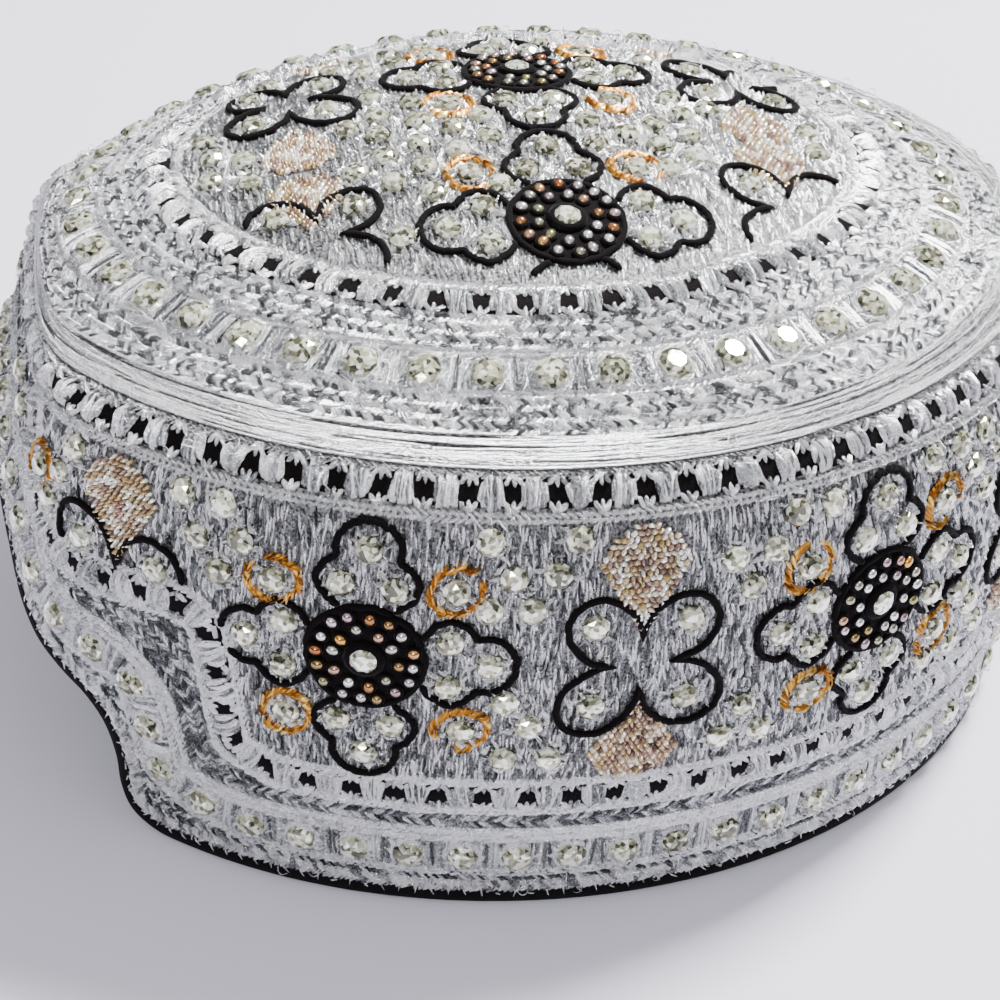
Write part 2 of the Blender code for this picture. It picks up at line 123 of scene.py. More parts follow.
ARCH_OUTLINE = [(0.0, 1.0), (0.2, 0.975), (0.4, 0.89), (0.54, 0.775), (0.62, 0.65), (0.71, 0.555),
                (0.83, 0.5), (0.92, 0.465), (0.98, 0.39), (1.0, 0.27), (1.0, 0.14), (1.04, 0.045),
                (1.15, 0.0), (1.3, 0.0)]
CRYSTAL_OUTLINE = [(0.0, 1.185), (0.22, 1.155), (0.46, 1.06), (0.64, 0.92), (0.76, 0.77), (0.9, 0.705),
                   (1.04, 0.68), (1.13, 0.6), (1.16, 0.44), (1.18, 0.31), (1.28, 0.24)]
BRAID_OUTLINE = [(0.45, 1.38), (0.46, 1.25), (0.49, 1.115), (0.55, 1.025), (0.64, 0.975), (0.78, 0.985),
                 (0.9, 1.0), (0.96, 0.955), (0.98, 0.85), (1.0, 0.64), (1.01, 0.53)]


def smooth_rows(rows, steps):
    """Catmull-Rom curve through the rows, with so many steps between two of them."""
    points = np.array(rows, float)
    padded = np.vstack([2 * points[0] - points[1], points, 2 * points[-1] - points[-2]])
    share = (np.arange(steps) / steps)[None, :, None]
    p0, p1, p2, p3 = (padded[index:len(padded) - 3 + index, None, :] for index in range(4))
    bend = (2 * p0 - 5 * p1 + 4 * p2 - p3) * share ** 2
    twist = (3 * p1 - p0 - 3 * p2 + p3) * share ** 3
    curve = (2 * p1 + (p2 - p0) * share + bend + twist) / 2
    return np.vstack([curve.reshape(-1, points.shape[1]), points[-1]])


BAND_CURVE = smooth_rows(BAND_SECTION, 12)
TURNS = np.linspace(0, math.tau, 2881)
WIDEST = np.stack([(HALF_LENGTH - OVAL_DIFFERENCE) * np.sin(TURNS), -HALF_LENGTH * np.cos(TURNS)])
DISTANCES = np.concatenate([[0.0], np.cumsum(np.hypot(*np.diff(WIDEST)))])
GIRTH = DISTANCES[-1]


def wall_half(height):
    """Half length of the band's outer face at heights."""
    return HALF_LENGTH * np.interp(height / BAND_HEIGHT, BAND_CURVE[:, 0], BAND_CURVE[:, 1])


CROWN_EDGE = float(wall_half(BAND_HEIGHT)) + 0.2
RING_HEIGHT = BAND_HEIGHT + SEAM_GAP + SHOULDER_FALL


def slumped(x, y, z):
    """Where places of the evenly built cap lie once the soft cloth has slumped."""
    weight = np.minimum(z / BAND_HEIGHT, 1.0) ** 2
    over = np.maximum(-FRONT_FLAT - y, 0.0)
    flat = -FRONT_FLAT - FRONT_SOFTNESS * (1 - np.exp(-over / FRONT_SOFTNESS))
    along = np.where(over > 0, y + (flat - y) * weight, y)
    radial = np.minimum(np.hypot(x / (HALF_LENGTH - OVAL_DIFFERENCE), y / HALF_LENGTH), 1.0)
    toward = np.cos(np.arctan2(x, -y) - CORNER_TURN)
    sink = CORNER_SINK * weight * radial ** 4 * np.maximum(toward, 0.0) ** 3
    return np.stack([x, along + PLAN_SHIFT, z - sink], axis=-1)


def band_spot(distance, height):
    """Places on the band's outer face."""
    turn = np.interp(distance % GIRTH, DISTANCES, TURNS)
    half = wall_half(height)
    return slumped((half - OVAL_DIFFERENCE) * np.sin(turn), -half * np.cos(turn), height)


def crown_spot(turn, half):
    """Places on the crown's outer face, a low dome inside the puff ring and a shoulder outside it."""
    share = np.minimum(half / PUFF_RING, 1.0)
    width = np.where(half <= PUFF_RING, share * (PUFF_RING - OVAL_DIFFERENCE), half - OVAL_DIFFERENCE)
    fall = SHOULDER_FALL * np.maximum(half - PUFF_RING, 0) / (CROWN_EDGE - PUFF_RING)
    height = RING_HEIGHT + DOME_RISE * (1 - share ** 2) - fall
    return slumped(width * np.sin(turn), -half * np.cos(turn), height)


def dome_spot(across, along):
    """Places on the crown inside its puff ring, given in plan."""
    share = (across / (PUFF_RING - OVAL_DIFFERENCE)) ** 2 + (along / PUFF_RING) ** 2
    return slumped(across, along, RING_HEIGHT + DOME_RISE * (1 - share))


def raised(spot, u, v, out, reach, side):
    """Places on a surface raised along its normal, the cross product of its two directions."""
    first = spot(u + reach, v) - spot(u - reach, v)
    second = spot(u, v + 0.6) - spot(u, v - 0.6)
    outward = np.cross(first, second) * side
    outward /= np.linalg.norm(outward, axis=-1, keepdims=True)
    return spot(u, v) + outward * np.broadcast_to(out, np.shape(u))[..., None]


def on_band(u, v, out=0.0):
    """Places over the band: distance round it, height, and how far they stand out."""
    return raised(band_spot, u, v, out, 0.6, 1.0)


def on_crown(u, v, out=0.0):
    """Places over the crown: turn round it, half length of the oval there, and how far out."""
    return raised(crown_spot, u, v, out, 0.008, -1.0)


def on_dome(u, v, out=0.0):
    """Places over the crown inside its puff ring: plan, and how far they stand out."""
    return raised(dome_spot, u, v, out, 0.6, 1.0)


def pace(surface, u, v):
    """Millimetres of a surface to one unit of its first coordinate."""
    if surface is on_crown:
        return np.hypot((v - OVAL_DIFFERENCE) * np.cos(u), v * np.sin(u))
    return np.ones(np.shape(u))


# Paths on the band laid flat

def border_path(outline, steps, size, beyond, height, closed=True):
    """Path round the band: its outline beside the arch, then level to the back, and mirrored."""
    arch = np.maximum(smooth_rows(outline, steps) * size, 0.0)
    level = np.linspace(arch[-1, 0] + beyond, GIRTH / 2, 60)[1:]
    half = np.vstack([arch, np.column_stack([level, np.full(len(level), height)])])
    other = np.column_stack([GIRTH - half[::-1, 0], half[::-1, 1]])
    return np.vstack([half[:-1], other[:-1] if closed else other])


def level_path(height):
    """Level closed path at a height."""
    return np.column_stack([np.linspace(0, GIRTH, 240, endpoint=False), np.full(240, height)])


RIM = border_path(ARCH_OUTLINE, 6, (ARCH_HALF_WIDTH, ARCH_HEIGHT), 0.0, 0.0)
CRYSTALS = border_path(CRYSTAL_OUTLINE, 8, (ARCH_HALF_WIDTH, ARCH_HEIGHT), 5.6, CRYSTAL_ROW)
LOWER = border_path(BRAID_OUTLINE, 8, (CORNER_OUT, CORNER_HEIGHT), 4.8, LOWER_PUFFS, closed=False)


def spaced(path, pitch, closed=True, aside=0.0):
    """Evenly spaced distances, heights and headings along a path, or along one to its left."""
    line = np.vstack([path, [path[0, 0] + GIRTH, path[0, 1]]]) if closed else path
    for shift, step in ([(aside, 1.0), (0.0, pitch)] if aside else [(0.0, pitch)]):
        lengths = np.concatenate([[0.0], np.cumsum(np.hypot(*np.diff(line, axis=0).T))])
        count = 2 * round(lengths[-1] / step / 2)
        places = np.linspace(0, lengths[-1], count + 1)
        even = np.column_stack([np.interp(places, lengths, line[:, column]) for column in (0, 1)])
        ahead = np.gradient(even, axis=0)
        if closed:
            ahead[0] = ahead[-1] = ahead[0] + ahead[-1]
        heading = np.arctan2(ahead[:, 1], ahead[:, 0])
        line = even + shift * np.column_stack([-np.sin(heading), np.cos(heading)])
    last = -1 if closed else None
    return even[:last, 0], even[:last, 1], heading[:last]


def closest(u, v, x, y):
    """Distance from places to the closest of some spots, and its number."""
    best = np.full(len(u), np.inf)
    near = np.zeros(len(u), int)
    for start in range(0, len(x), 64):
        across = (u[:, None] - x[None, start:start + 64] + GIRTH / 2) % GIRTH - GIRTH / 2
        away = np.hypot(across, v[:, None] - y[None, start:start + 64])
        index = away.argmin(axis=1)
        value = away[np.arange(len(u)), index]
        closer = value < best
        best[closer] = value[closer]
        near[closer] = index[closer] + start
    return best, near


def beside(u, v, path, closed=True):
    """Signed distance from places to a path, more than zero to its left."""
    x, y, heading = spaced(path, 1.2, closed)
    best, near = closest(u, v, x, y)
    across = (u - x[near] + GIRTH / 2) % GIRTH - GIRTH / 2
    return best * np.sign(np.cos(heading[near]) * (v - y[near]) - np.sin(heading[near]) * across)


# Small shapes: corners (along, across, out) from -0.5 to 0.5 and 0 to 1, and their faces

def grid_faces(rows, columns, wrap_rows=False, wrap_columns=False):
    """Four-cornered faces of a grid whose corners are numbered row by row."""
    row, column = np.meshgrid(np.arange(rows if wrap_rows else rows - 1),
                              np.arange(columns if wrap_columns else columns - 1), indexing="ij")
    row, column = row.ravel(), column.ravel()
    below, right = (row + 1) % rows, (column + 1) % columns
    return np.column_stack([row * columns + column, below * columns + column,
                            below * columns + right, row * columns + right])


def ridge(stations, widths, heights):
    """A stitch: a ridge of three corners across, wide and high as given along it."""
    along = np.repeat(stations, 3)
    across = (np.array(widths)[:, None] * (-0.5, 0.0, 0.5)).ravel()
    out = (np.array(heights)[:, None] * (0.0, 1.0, 0.0)).ravel()
    return np.column_stack([along, across, out]), [grid_faces(len(stations), 3)]


def pad(rows, columns):
    """A puff: a round domed pad."""
    along, turn = np.meshgrid(np.sin(np.linspace(-1, 1, rows) * QUARTER), np.linspace(-1, 1, columns),
                              indexing="ij")
    across = turn * (1 - np.abs(along) ** 2.3) ** (1 / 2.3)
    out = np.sqrt(np.maximum(1 - along ** 2, 0.0)) * (1 - turn ** 4)
    return np.column_stack([along.ravel() / 2, across.ravel() / 2, out.ravel()]), [grid_faces(rows, columns)]


def ball(rings, sides):
    """A bead: a ball of rings and sides with its middle at half its height."""
    tilt = np.linspace(-QUARTER * 0.92, QUARTER * 0.92, rings)
    turn = np.arange(sides) * math.tau / sides
    tilt, turn = np.meshgrid(tilt, turn, indexing="ij")
    corners = np.column_stack([(np.cos(tilt) * np.cos(turn)).ravel() / 2,
                               (np.cos(tilt) * np.sin(turn)).ravel() / 2,
                               (np.sin(tilt).ravel() + 1) / 2])
    top = np.arange(sides)[None] + (rings - 1) * sides
    return corners, [grid_faces(rings, sides, wrap_columns=True)[:, ::-1], top, np.arange(sides)[None, ::-1]]


def hoop(sides, around, thickness):
    """A thread loop: a ring of so many sides whose thread is a share of its radius thick."""
    turn = np.arange(sides) * math.tau / sides
    roll = np.arange(around) * math.tau / around
    turn, roll = np.meshgrid(turn, roll, indexing="ij")
    reach = 1 - thickness + thickness * np.cos(roll)
    corners = np.column_stack([(reach * np.cos(turn)).ravel() / 2, (reach * np.sin(turn)).ravel() / 2,
                               (np.sin(roll).ravel() + 1) / 2])
    return corners, [grid_faces(sides, around, True, True)]


def brilliant(sides=8):
    """A cut stone: table, two rows of three-cornered facets, girdle and base."""
    rows = [(0.55, 1.0, 0.0), (0.82, 0.74, 0.5), (1.0, 0.38, 0.0), (0.98, 0.0, 0.0)]
    corners = []
    for radius, out, shift in rows:
        turn = (np.arange(sides) + shift) * math.tau / sides
        corners.append(np.column_stack([radius * np.cos(turn) / 2, radius * np.sin(turn) / 2,
                                        np.full(sides, out)]))
    index = np.arange(sides)
    after = (index + 1) % sides
    before = (index - 1) % sides
    table, middle, girdle, base = (index + sides * row for row in range(4))
    facets = np.vstack([
        np.column_stack([table, middle, after]),
        np.column_stack([table, middle[before], middle]),
        np.column_stack([girdle, girdle[after], middle]),
        np.column_stack([middle[before], girdle, middle]),
    ])
    wall = np.column_stack([girdle, base, base[after], girdle[after]])
    return np.vstack(corners), [facets, wall, table[None]]


def split(shape):
    """The same shape with corners of its own for every face, and the face that each corner is on."""
    corners, faces = shape
    parts, groups, owners, start, number = [], [], [], 0, 0
    for group in faces:
        parts.append(corners[group.ravel()])
        groups.append(np.arange(group.size).reshape(group.shape) + start)
        owners.append(np.repeat(np.arange(len(group)) + number, group.shape[1]))
        start += group.size
        number += len(group)
    return (np.vstack(parts), groups), np.concatenate(owners)


SHORT_STITCH = ridge((-0.5, 0.0, 0.5), (0.5, 1.0, 0.5), (0.15, 1.0, 0.15))
LONG_STITCH = ridge((-0.5, -0.28, 0.28, 0.5), (0.35, 1.0, 1.0, 0.35), (0.1, 0.95, 1.0, 0.1))
WRAPPED = ridge((-0.5, -0.42, -0.24, 0.0, 0.24, 0.42, 0.5), (0.7, 0.9, 1.0, 1.0, 1.0, 0.9, 0.7),
                (0.1, 0.55, 0.9, 1.0, 0.9, 0.55, 0.1))
PUFF = pad(7, 7)
KNOT = pad(4, 4)
BEAD = ball(5, 8)
LOOP = hoop(10, 5, 0.3)
STONE, FACETS = split(brilliant())
DISH = hoop(12, 5, 0.42)


def patch(points, faces, tones=0.5, look=0, smooth=True):
    """Part of a mesh: points, groups of faces, each point's tone and the number of the material."""
    points = points.reshape(-1, 3)
    return {"points": points, "faces": faces, "tones": np.broadcast_to(tones, len(points)), "look": look,
            "smooth": smooth}


def drawn(value, count):
    """One value for each copy, drawn evenly between the two of a pair."""
    return uniform(*value, count) if isinstance(value, tuple) else np.broadcast_to(value, count)


def sewn(surface, shape, u, v, angle, size, lift, tone=(0.0, 1.0), look=0, smooth=True, rough=0.0, sway=0.0):
    """Copies of a shape laid at places on a surface.

    A copy's corner (a, b, c) is scaled by the size, turned by the angle, added to the copy's place and
    carried onto the surface, where c is the height over it, uneven by a share of itself. Sizes and
    tones that are pairs are drawn between the two, and the angle sways. Each copy keeps one tone
    from 0 to 1, or one for each of its corners.
    """
    corners, faces = shape
    u, v = np.atleast_1d(u).astype(float), np.atleast_1d(v).astype(float)
    count = len(u)
    angle = (np.broadcast_to(angle, count) + (normal(0, sway, count) if sway else 0.0))[:, None]
    length, width, height = [drawn(part, count)[:, None] for part in size]
    tones = drawn(tone, count) if np.ndim(tone) < 2 else tone
    a, b = corners[None, :, 0] * length, corners[None, :, 1] * width
    first = u[:, None] + (a * np.cos(angle) - b * np.sin(angle)) / pace(surface, u, v)[:, None]
    second = v[:, None] + a * np.sin(angle) + b * np.cos(angle)
    uneven = 1 + normal(0, rough, a.shape) if rough else 1.0
    lift = np.broadcast_to(lift, count)[:, None]
    points = surface(first, second, lift + corners[None, :, 2] * height * uneven)
    if np.ndim(tones) < 2:
        tones = np.repeat(tones, len(corners))
    starts = (np.arange(count) * len(corners))[:, None, None]
    flat = [(starts + group[None]).reshape(-1, group.shape[1]) for group in faces]
    if surface is on_crown:
        flat = [group[:, ::-1] for group in flat]
    return patch(points, flat, np.ravel(tones), look, smooth)


def cord(surface, u, v, radius, tone=0.5, sides=6, closed=False, lift=0.0):
    """A couched cord: a round tube along a path on a surface, half sunk in it."""
    ahead_u, ahead_v = [(np.roll(part, -1) - np.roll(part, 1)) / 2 if closed else np.gradient(part)
                        for part in (u, v)]
    scale = pace(surface, u, v)
    heading = np.arctan2(ahead_v, ahead_u * scale)
    thick = np.full(len(u), radius)
    if not closed:
        thick[[0, -1]] *= 0.4
    roll = np.arange(sides) * math.tau / sides
    across = thick[:, None] * np.cos(roll)
    first = u[:, None] - across * np.sin(heading)[:, None] / scale[:, None]
    second = v[:, None] + across * np.cos(heading)[:, None]
    points = surface(first, second, lift + thick[:, None] * (0.55 + np.sin(roll)))
    faces = grid_faces(len(u), sides, closed, True)
    if surface is not on_crown:
        faces = faces[:, ::-1]
    return patch(points, [faces], tone)


def make_piece(name, patches, materials, replaced=()):
    """One mesh object from patches of points and faces, riding on the cap's body."""
    points = np.concatenate([part["points"] for part in patches]) * MM
    tones = np.concatenate([part["tones"] for part in patches])
    corners, totals, looks, smooths, start = [], [], [], [], 0
    for part in patches:
        for group in part["faces"]:
            corners.append((group + start).ravel())
            totals.append(np.full(len(group), group.shape[1]))
            looks.append(np.full(len(group), part["look"]))
            smooths.append(np.full(len(group), part["smooth"]))
        start += len(part["points"])
    corners, totals = np.concatenate(corners), np.concatenate(totals)
    mesh = bpy.data.meshes.new(name)
    mesh.vertices.add(len(points))
    mesh.vertices.foreach_set("co", points.astype(np.float32).ravel())
    mesh.loops.add(len(corners))
    mesh.loops.foreach_set("vertex_index", corners.astype(np.int32))
    mesh.polygons.add(len(totals))
    mesh.polygons.foreach_set("loop_start", np.concatenate([[0], np.cumsum(totals)[:-1]]).astype(np.int32))
    mesh.polygons.foreach_set("material_index", np.concatenate(looks).astype(np.int32))
    mesh.polygons.foreach_set("use_smooth", np.concatenate(smooths))
    mesh.update(calc_edges=True)
    mesh.attributes.new("tone", "FLOAT", "POINT").data.foreach_set("value", tones.astype(np.float32))
    for material in materials:
        mesh.materials.append(material)
    piece = bpy.data.objects.new(name, mesh)
    bpy.context.scene.collection.objects.link(piece)
    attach(piece, "root")
    if replaced:
        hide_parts(*replaced)


# Materials

def srgb(code):
    """Linear colour of a hex code as it is seen on a screen."""
    parts = [int(code[index:index + 2], 16) / 255 for index in (1, 3, 5)]
    return (*[part / 12.92 if part <= 0.04045 else ((part + 0.055) / 1.055) ** 2.4 for part in parts], 1.0)


def add_node(material, kind, values=None, **settings):
    """Node in a material, with its settings and its inputs' values or links."""
    node = material.node_tree.nodes.new(kind)
    for key, value in settings.items():
        setattr(node, key, value)
    for key, value in (values or {}).items():
        if isinstance(value, bpy.types.NodeSocket):
            material.node_tree.links.new(value, node.inputs[key])
        else:
            node.inputs[key].default_value = value
    return node


def new_material(name, **values):
    """Principled material, with its shader's constant values."""
    material = bpy.data.materials.new(name)
    material.use_nodes = True
    shader = material.node_tree.nodes["Principled BSDF"]
    for key, value in values.items():
        shader.inputs[key.replace("_", " ")].default_value = value
    return material, shader


def link(material, source, target):
    """Joins an output to an input."""
    material.node_tree.links.new(source, target)


def toned(material, shader, codes):
    """Colour that follows each stitch's own tone through a row of hex codes."""
    tone = add_node(material, "ShaderNodeAttribute", attribute_name="tone")
    ramp = add_node(material, "ShaderNodeValToRGB", {"Fac": tone.outputs["Fac"]})
    stops = ramp.color_ramp.elements
    while len(stops) < len(codes):
        stops.new(0.5)
    for index, code in enumerate(codes):
        stops[index].position = index / (len(codes) - 1)
        stops[index].color = srgb(code)
    link(material, ramp.outputs["Color"], shader.inputs["Base Color"])
    return ramp


def fine_grain(material, shader, size, strength, depth):
    """Bump of fine thread ends, of a size and depth in millimetres."""
    place = add_node(material, "ShaderNodeTexCoord")
    noise = add_node(material, "ShaderNodeTexNoise",
                     {"Vector": place.outputs["Object"], "Scale": 1 / (size * MM), "Detail": 3.0})
    bump = add_node(material, "ShaderNodeBump",
                    {"Height": noise.outputs["Fac"], "Strength": strength, "Distance": depth * MM})
    link(material, bump.outputs["Normal"], shader.inputs["Normal"])
    return noise


def shiny(name, codes, metallic, roughness, grain=None, painted_sparkle=0.0):
    """Thread or bead coloured by its tone, bumped by fine thread ends, its tone flecked by painted sparkle.
    """
    material, shader = new_material(name, Metallic=metallic, Roughness=roughness)
    ramp = toned(material, shader, codes)
    noise = fine_grain(material, shader, *grain) if grain else None
    # Painted sparkle: the grain's noise lifts the tone into painted glints and lowers it between them.
    if painted_sparkle:
        tone = ramp.inputs["Fac"].links[0].from_socket
        painted_sparkles = add_node(material, "ShaderNodeMath", {0: noise.outputs["Fac"], 1: painted_sparkle, 2: -0.52 * painted_sparkle},
                          operation="MULTIPLY_ADD")
        mixed = add_node(material, "ShaderNodeMath", {0: tone, 1: painted_sparkles.outputs["Value"]}, operation="ADD")
        link(material, mixed.outputs["Value"], ramp.inputs["Fac"])
    return material


def laid_ground():
    """Ground under the stitches: close laid thread in shadow, dark between its strands."""
    material, shader = new_material("laid_silver_ground", Metallic=0.5, Roughness=0.5)
    noise = fine_grain(material, shader, 0.5, 0.8, 0.25)
    ramp = add_node(material, "ShaderNodeValToRGB", {"Fac": noise.outputs["Fac"]})
    for stop, position, code in zip(ramp.color_ramp.elements, (0.38, 0.62), ("#121213", "#7a7a7c")):
        stop.position = position
        stop.color = srgb(code)
    link(material, ramp.outputs["Color"], shader.inputs["Base Color"])
    return material


def black_cloth(name, code, size):
    """Matt black cotton: deep black, a faint sheen at grazing angles and a fine uneven yarn."""
    material, shader = new_material(name, Roughness=0.9, Specular_IOR_Level=0.1, Sheen_Weight=0.02,
                                    Sheen_Roughness=0.4)
    shader.inputs["Base Color"].default_value = srgb(code)
    fine_grain(material, shader, size, 0.8, 0.2)
    return material


def cut_crystal():
    """Foiled glass stone: olive to clear facets under a gloss, broken up by painted reflections and glints in
    cells inside it.
    """
    material, shader = new_material("foiled_cut_glass", Metallic=0.55, Roughness=0.07, Coat_Weight=1.0,
                                    Coat_Roughness=0.02)
    ramp = toned(material, shader, ["#0c0c07", "#4a4934", "#b4b494", "#f8f9ec", "#ffffff"])
    place = add_node(material, "ShaderNodeTexCoord")
    cells = add_node(material, "ShaderNodeTexVoronoi", {"Vector": place.outputs["Object"],
                                                        "Scale": 1 / (0.8 * MM)})
    painted_glint_cells = add_node(material, "ShaderNodeSeparateColor", {"Color": cells.outputs["Color"]})
    tone = ramp.inputs["Fac"].links[0].from_socket
    # Random cells lift the facets' tones: painted reflections and glints inside the stone.
    inner = add_node(material, "ShaderNodeMath", {0: painted_glint_cells.outputs["Red"], 1: 0.6}, operation="MULTIPLY")
    facet = add_node(material, "ShaderNodeMath", {0: tone, 1: 0.45, 2: inner.outputs["Value"]},
                     operation="MULTIPLY_ADD")
    link(material, facet.outputs["Value"], ramp.inputs["Fac"])
    return material


# Zari thread: flat silver strip wound on a core, bright where it catches light and grey beside it
SILVER = shiny("silver_zari_thread", ["#1c1c1e", "#77787b", "#eeeff1", "#ffffff"], 0.85, 0.17,
               (0.35, 1.0, 0.8), painted_sparkle=1.0)
GROUND = laid_ground()
BLACK = black_cloth("black_couched_cord", "#060304", 0.5)
TAPE = black_cloth("black_cotton_tape", "#0a080a", 0.6)
LINING = black_cloth("black_cotton_inside", "#17141a", 0.9)
# Gold wire: orange gold, each stitch toned at random from brown to yellow, the brown painted shade of its
# folds and the yellow painted highlight on its ridges
GOLD = shiny("gold_wire_thread", ["#5a300c", "#a0651c", "#c88e34", "#f6d684"], 0.8, 0.36, (0.4, 0.6, 0.15))
# Knots of pale gold and copper thread, each knot its own tone, the whitest knots painted highlight
CHAMPAGNE = shiny("champagne_thread_knots", ["#4e3a33", "#b3988b", "#bba373", "#efe7d6", "#ffffff"], 0.75,
                  0.22, (0.35, 0.6, 0.12))
CRYSTAL = cut_crystal()
# Tiny metal-coloured beads in silver, gold and copper
BEADS = shiny("metal_seed_beads", ["#a8603c", "#8e8a5c", "#b9b7b4", "#f4f4f6", "#a58a92", "#d8a04a"], 0.9,
              0.22)


# The cloth

def make_crown():
    """Crown: outer rows from the middle to the edge, then inner rows back, with a fan at each middle."""
    turns = np.linspace(0, math.tau, 160, endpoint=False)
    halves = np.concatenate([np.linspace(2.0, PUFF_RING, 22), np.linspace(PUFF_RING + 1.5, CROWN_EDGE, 16)])
    outer = crown_spot(*np.meshgrid(turns, halves))
    inner = crown_spot(*np.meshgrid(turns, halves[:-3][::-1])) - (0.0, 0.0, CLOTH)
    patches = []
    for look, sheet in enumerate((outer, inner)):
        rows, columns = sheet.shape[:2]
        middle_row = look * (rows - 1)
        points = np.vstack([sheet.reshape(-1, 3), sheet[middle_row].mean(axis=0)])
        ring = np.arange(columns) + middle_row * columns
        fan = np.column_stack([ring, np.roll(ring, -1), np.full(columns, rows * columns)])
        patches.append(patch(points, [grid_faces(rows, columns, False, True), fan[:, ::-1] if look else fan],
                             look=look))
    patches.append(patch(np.stack([outer[-1], inner[0]]), [grid_faces(2, len(turns), False, True)], look=1))
    make_piece("crown_cloth", patches, [GROUND, LINING], ["crown_top"])


def make_band():
    """Band: outer rows from the rim up to the seam and inner rows back down, closed all round."""
    x, y, heading = spaced(RIM, 1.8)
    lower = np.column_stack([x - 0.6 * np.sin(heading), y + 0.6 * np.cos(heading)])
    upper = np.linspace(0, GIRTH, len(x), endpoint=False)
    drift = (upper - lower[:, 0] + GIRTH / 2) % GIRTH - GIRTH / 2
    shares = np.concatenate([np.linspace(0, 0.88, 22), np.linspace(0.9, 1.0, 8)])[:, None]
    u = lower[None, :, 0] + drift[None] * shares
    v = lower[None, :, 1] + (BAND_HEIGHT - lower[None, :, 1]) * shares
    outer = on_band(u, v)
    inner = on_band(u, v, -CLOTH)[::-1]
    rows, columns = u.shape
    faces = grid_faces(rows, columns, False, True)[:, ::-1]
    edges = np.stack([outer[-1], inner[0], inner[-1], outer[0]])
    rims = grid_faces(4, columns, False, True)[:, ::-1].reshape(3, columns, 4)[[0, 2]].reshape(-1, 4)
    patches = [patch(outer, [faces]), patch(inner, [faces], look=1), patch(edges, [rims], look=1)]
    make_piece("band_cloth", patches, [GROUND, LINING], ["side_band"])


def make_binding():
    """Binding: a rounded tape folded over the rim, its section carried along the rim path."""
    x, y, heading = spaced(RIM, 1.5)
    section = np.array([(3.2, 0.35), (3.1, 0.8), (1.9, 0.95), (0.7, 0.75), (0.12, 0.1), (0.0, -1.25),
                        (0.12, -2.6), (0.7, -3.25), (1.9, -3.45), (3.1, -3.3), (3.2, -2.85)])
    section = np.vstack([smooth_rows(section, 2), [(1.4, -1.25)]])
    u = x[:, None] - section[None, :, 0] * np.sin(heading)[:, None]
    v = y[:, None] + section[None, :, 0] * np.cos(heading)[:, None]
    points = on_band(u, v, np.broadcast_to(section[:, 1], u.shape))
    points[..., 2] = np.maximum(points[..., 2], 0.0)
    faces = grid_faces(len(x), len(section), True, True)[:, ::-1]
    make_piece("rim_binding", [patch(points, [faces])], [TAPE], ["edge_binding"])


# Thread work

def shifted(surface, u, v, heading, along, left):
    """Places moved along their heading and to its left."""
    scale = pace(surface, u, v)
    return (u + (along * np.cos(heading) - left * np.sin(heading)) / scale,
            v + along * np.sin(heading) + left * np.cos(heading))


def plait(surface, path, width, thick, slant=0.5, stretch=1.7, tones=(0.45, 1.0)):
    """A braid: two rows of stitches that lean against each other along a path."""
    u, v, heading = path
    size = ((0.9 * stretch, 1.15 * stretch), (0.3 * width, 0.42 * width), (0.75 * thick, 1.25 * thick))
    return [sewn(surface, LONG_STITCH, *shifted(surface, u, v, heading, 0.0, side * width / 4),
                 heading - side * slant, size, 0.0, tones, sway=0.08) for side in (-1, 1)]


def crown_ring(half, pitch):
    """Evenly spaced places and headings round an oval of the crown."""
    turns = np.linspace(0, math.tau, 1441)
    line = np.stack([(half - OVAL_DIFFERENCE) * np.sin(turns), -half * np.cos(turns)])
    lengths = np.concatenate([[0.0], np.cumsum(np.hypot(*np.diff(line)))])
    count = 2 * round(lengths[-1] / pitch / 2)
    places = np.arange(count) * lengths[-1] / count
    return np.interp(places, lengths, turns), np.full(count, half), np.zeros(count)


def tape(surface, path, width, look, closed):
    """A low strip along a path, four corners across."""
    u, v, heading = path
    first, second = shifted(surface, u[:, None], v[:, None], heading[:, None], 0.0,
                            np.array([-0.5, -0.42, 0.42, 0.5]) * width)
    points = surface(first, second, np.broadcast_to((0.0, 0.3, 0.3, 0.0), first.shape))
    faces = grid_faces(len(u), 4, closed, False)
    return patch(points, [faces[:, ::-1] if surface is on_crown else faces], look=look)


def puff_row(name, surface, path, fine, replaced, closed, width=PUFF_WIDTH, top_fan=0.38):
    """Puffs wrapped in thread on a black strip, with fans of stitches that make each gap a black star."""
    parts = [tape(surface, fine, width, 1, closed)]
    u, v, heading = path
    count = len(u)
    # Each pad is toned darker than the wraps over it, 0.3 to 0.6: painted shade in the gaps between the
    # wrapping threads.
    parts.append(sewn(surface, PUFF, u, v, heading, (4.0, width, 1.3), 0.2, (0.3, 0.6), rough=0.05))
    for along in np.linspace(-1.65, 1.65, 7):
        reach = width * (1.12 - 0.12 * along ** 2)
        first, second = shifted(surface, u, v, heading, along + normal(0, 0.12, count),
                                normal(0, 0.15, count))
        parts.append(sewn(surface, WRAPPED, first, second, heading + QUARTER + normal(0, 0.2, count),
                          (reach * uniform(0.85, 1.1, count), uniform(0.9, 1.4, count),
                           (1.9 - 0.23 * along ** 2) * uniform(0.88, 1.12, count)), 0.15,
                          uniform(0.25, 1.0, count) ** 0.7, rough=0.09))
    near = np.hypot((np.roll(u, -1) - u) * pace(surface, u, v), np.roll(v, -1) - v) < 12
    u, v, heading = ((u + np.roll(u, -1)) / 2)[near], ((v + np.roll(v, -1)) / 2)[near], heading[near]
    for side, share in ((-1, 0.38), (1, top_fan)):
        reach = share * width
        for fan in (-0.8, 0.0, 0.8):
            first, second = shifted(surface, u, v, heading, 1.1 * fan, side * (width / 2 - reach / 2 + 0.6))
            parts.append(sewn(surface, LONG_STITCH, first, second, heading + QUARTER + side * fan,
                              (reach * 1.15, 0.75, (0.6, 1.0)), 0.3, (0.4, 1.0), sway=0.15))
    make_piece(name, parts, [SILVER, BLACK], replaced)


